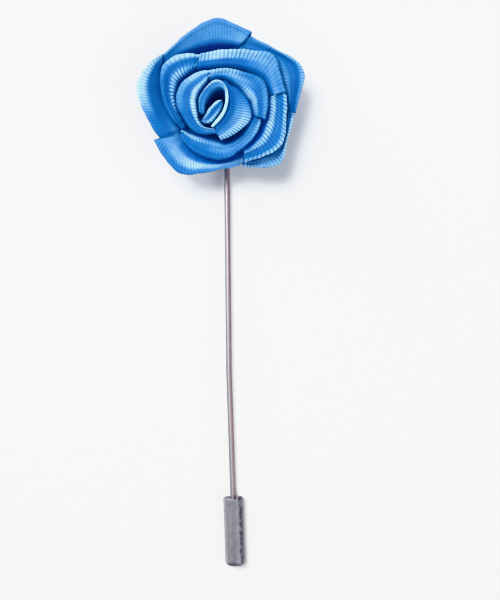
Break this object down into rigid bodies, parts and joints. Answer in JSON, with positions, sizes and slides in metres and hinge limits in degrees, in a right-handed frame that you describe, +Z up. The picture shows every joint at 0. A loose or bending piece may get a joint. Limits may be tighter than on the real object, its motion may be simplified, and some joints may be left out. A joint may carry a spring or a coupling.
{
  "type": "flower lapel pin",
  "caption": "Lapel pin: a rose of folded blue satin ribbon on a straight metal stick, with a push-on barrel clutch over its point.",
  "frame": {"origin": "middle of the flat underside of the rose's foot, on the surface that the pin lies on", "axes": "+Y along the stick from its point towards the rose, +Z up out of the rose's face, +X to the right seen from above"},
  "size_m": [0.0244, 0.0828, 0.0119],
  "materials": {
    "ribbon": "ribbed satin ribbon, blue",
    "foot_ribbon": "gathered satin ribbon, blue",
    "stick_metal": "bright nickel plate on steel wire",
    "clutch_metal": "bright nickel plate on brass"
  },
  "bodies": {
    "pin": {"outer_petal_1": "ribbon", "outer_petal_2": "ribbon", "outer_petal_3": "ribbon", "outer_petal_4": "ribbon", "outer_petal_5": "ribbon", "middle_petal_1": "ribbon", "middle_petal_2": "ribbon", "middle_petal_3": "ribbon", "middle_petal_4": "ribbon", "inner_petal_1": "ribbon", "inner_petal_2": "ribbon", "inner_petal_3": "ribbon", "bud_wrap": "ribbon", "bud_core": "ribbon", "rose_foot": "foot_ribbon", "pin_stick": "stick_metal"},
    "clutch": {"clutch": "clutch_metal"}
  },
  "joints": [
    {"name": "clutch_slide", "type": "slide", "parent": "pin", "child": "clutch", "axis": [0, -1, 0], "range_m": [0, 0.016]}
  ]
}
